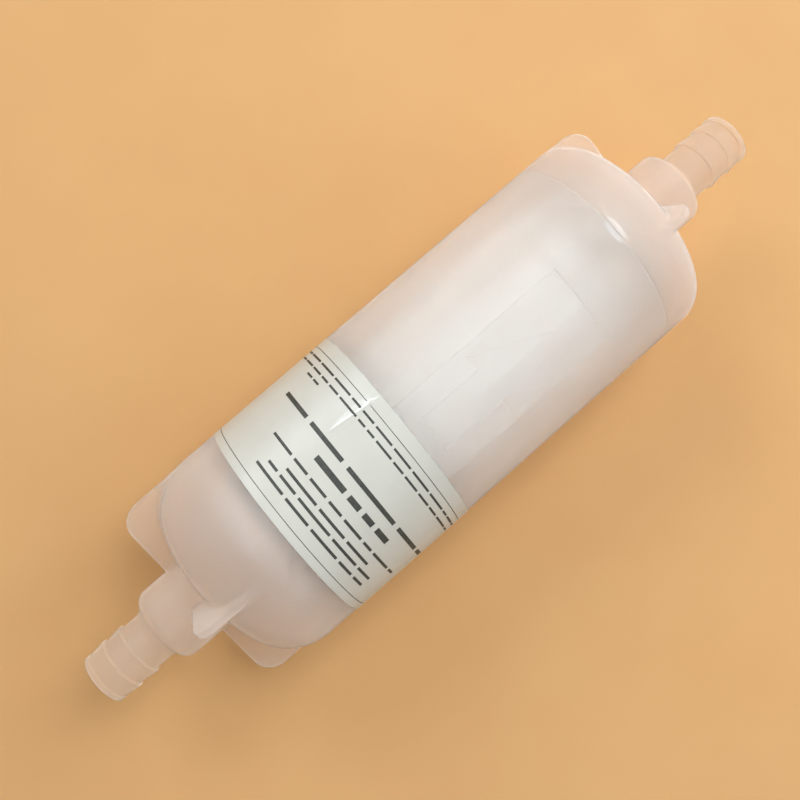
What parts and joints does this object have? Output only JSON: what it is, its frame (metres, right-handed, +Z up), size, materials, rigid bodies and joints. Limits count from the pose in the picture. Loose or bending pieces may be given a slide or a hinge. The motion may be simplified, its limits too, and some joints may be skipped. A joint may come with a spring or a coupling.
{
  "type": "capsule filter",
  "caption": "Disposable in-line capsule filter: a pleated element welded inside a cylindrical plastic housing with domed, finned ends and a hose barb at each end.",
  "frame": {"origin": "middle of the footprint, half way along the capsule, on the surface that it lies on", "axes": "+X along the flow, from the inlet barb to the outlet barb; +Z up, square to the surface that the capsule lies on; the flow arrow and the first fin are turned 15.6 degrees from the top towards -Y"},
  "size_m": [0.226, 0.0604, 0.0603],
  "materials": {
    "housing": "milky, satin, translucent polypropylene",
    "label": "satin white film",
    "element_mouldings": "white polypropylene",
    "support_fleece": "white non-woven",
    "membrane": "white, matt"
  },
  "bodies": {
    "root": {"housing_bowl": "housing", "housing_cap": "housing", "label": "label", "closed_end_cap": "element_mouldings", "open_end_cap": "element_mouldings", "outer_cage": "element_mouldings", "upstream_support": "support_fleece", "filter_medium": "membrane", "downstream_support": "support_fleece", "inner_core": "element_mouldings"}
  },
  "joints": []
}
